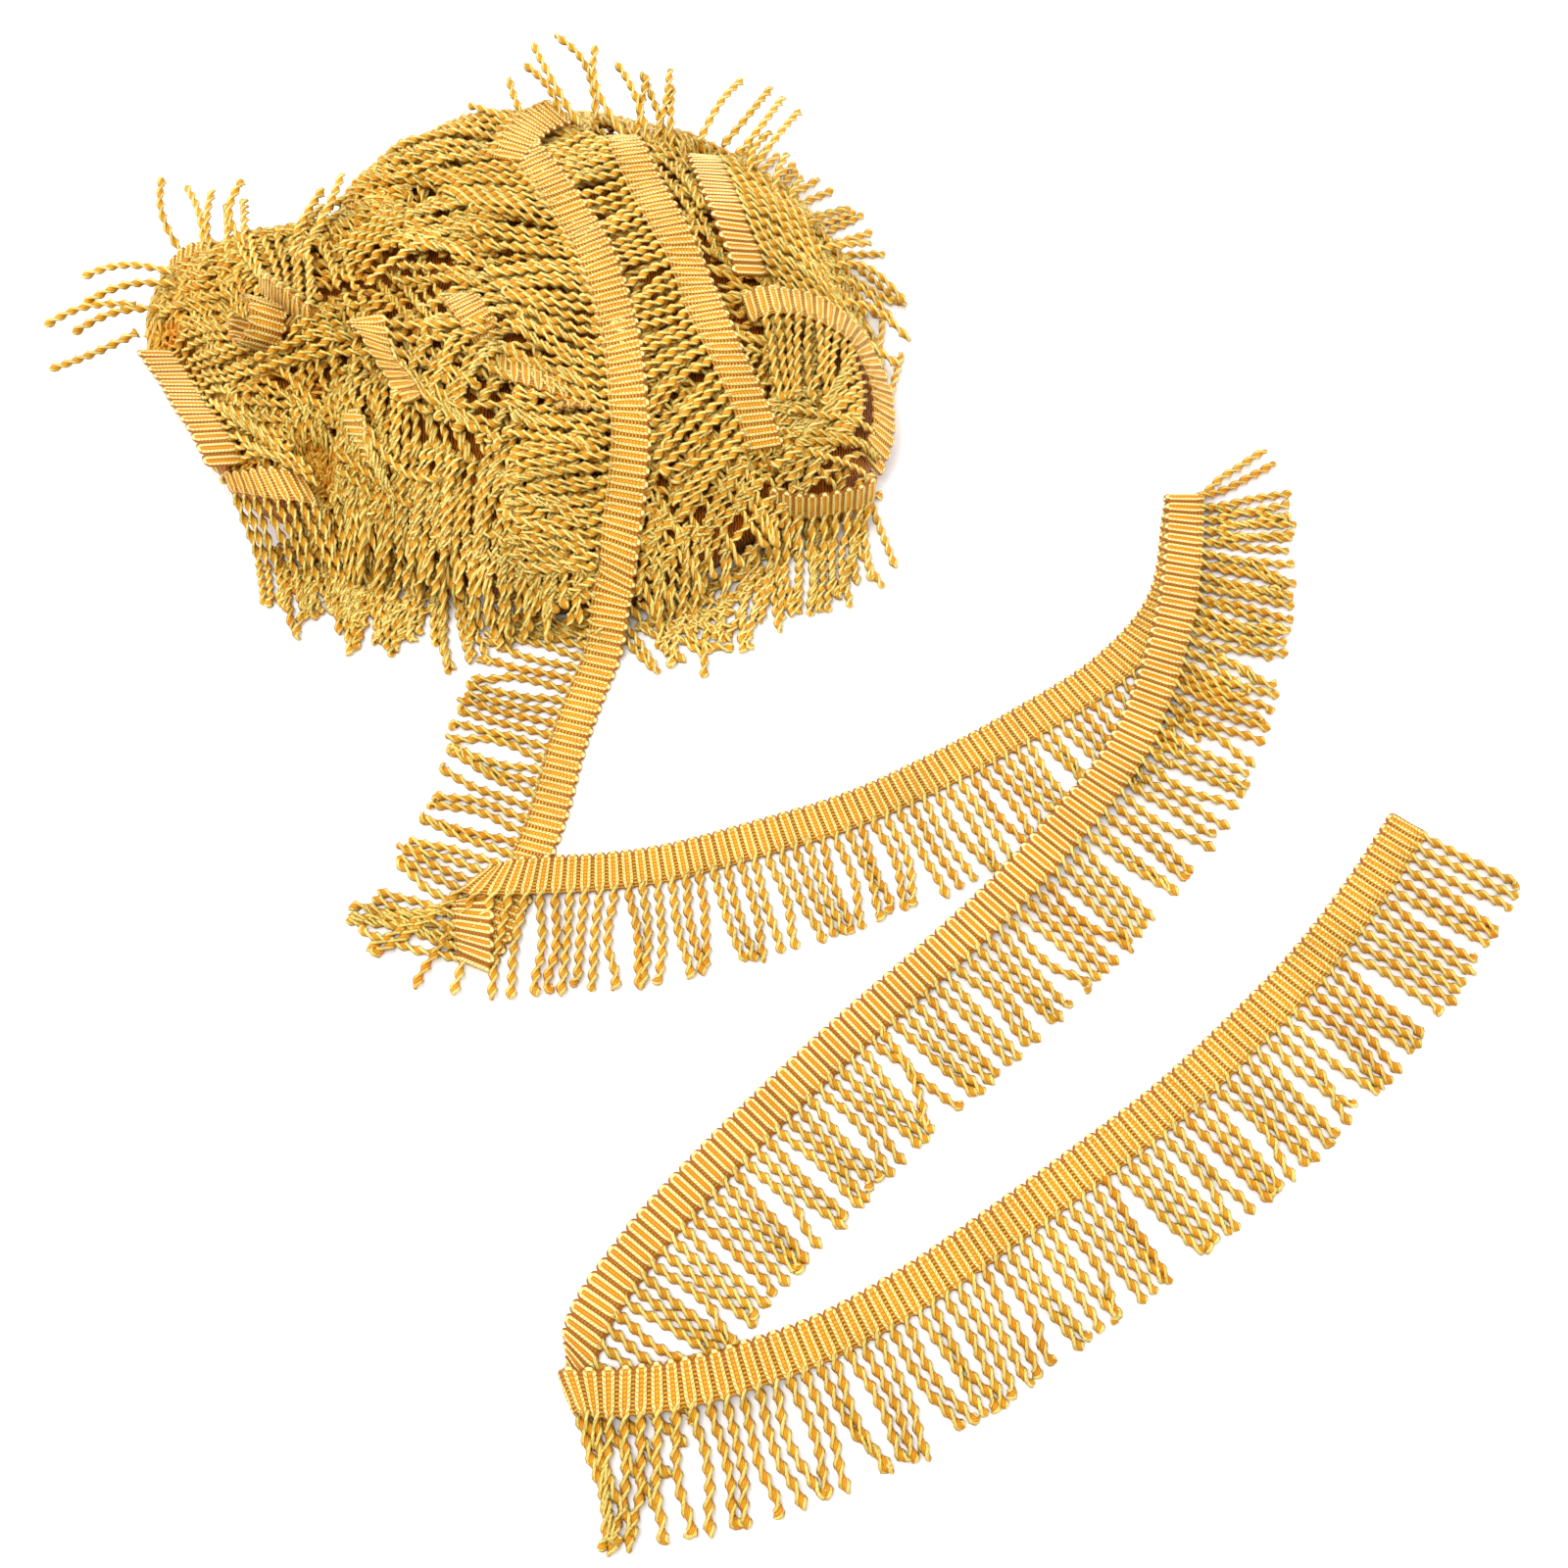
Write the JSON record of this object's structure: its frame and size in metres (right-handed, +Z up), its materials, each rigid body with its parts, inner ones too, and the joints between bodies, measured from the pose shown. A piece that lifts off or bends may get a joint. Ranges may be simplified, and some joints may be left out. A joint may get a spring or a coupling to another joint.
{
  "type": "tassel fringe trim",
  "caption": "Length of gold bullion fringe trim, a woven ribbed heading with twisted loop cords hung from one edge, heaped up with its loose end laid out in bends.",
  "frame": {"origin": "on the floor under the heap, in the flat face that the heap rests on", "axes": "+Z up from the floor, +X to the right and +Y away from the viewer, who sees the heap at the back left and the loose end laid out in bends to the front and right of it"},
  "size_m": [0.6331, 0.6624, 0.0706],
  "materials": {
    "heading": "glossy rayon yarn",
    "cords": "glossy rayon yarn",
    "heap": "glossy rayon yarn"
  },
  "bodies": {
    "root": {"wound_heap": "heap", "tail_heading": "heading", "tail_fringe_a": "cords", "tail_fringe_b": "cords", "tail_fringe_c": "cords", "tail_fringe_d": "cords", "turn_fringe": "cords", "rim_fringe_right_back": "cords", "rim_fringe_right_front": "cords", "rim_fringe_front": "cords", "rim_fringe_left_front": "cords", "spray_back": "cords", "spray_right": "cords", "spray_side": "cords", "spray_left": "cords", "spray_notch": "cords", "spray_end": "cords"}
  },
  "joints": []
}
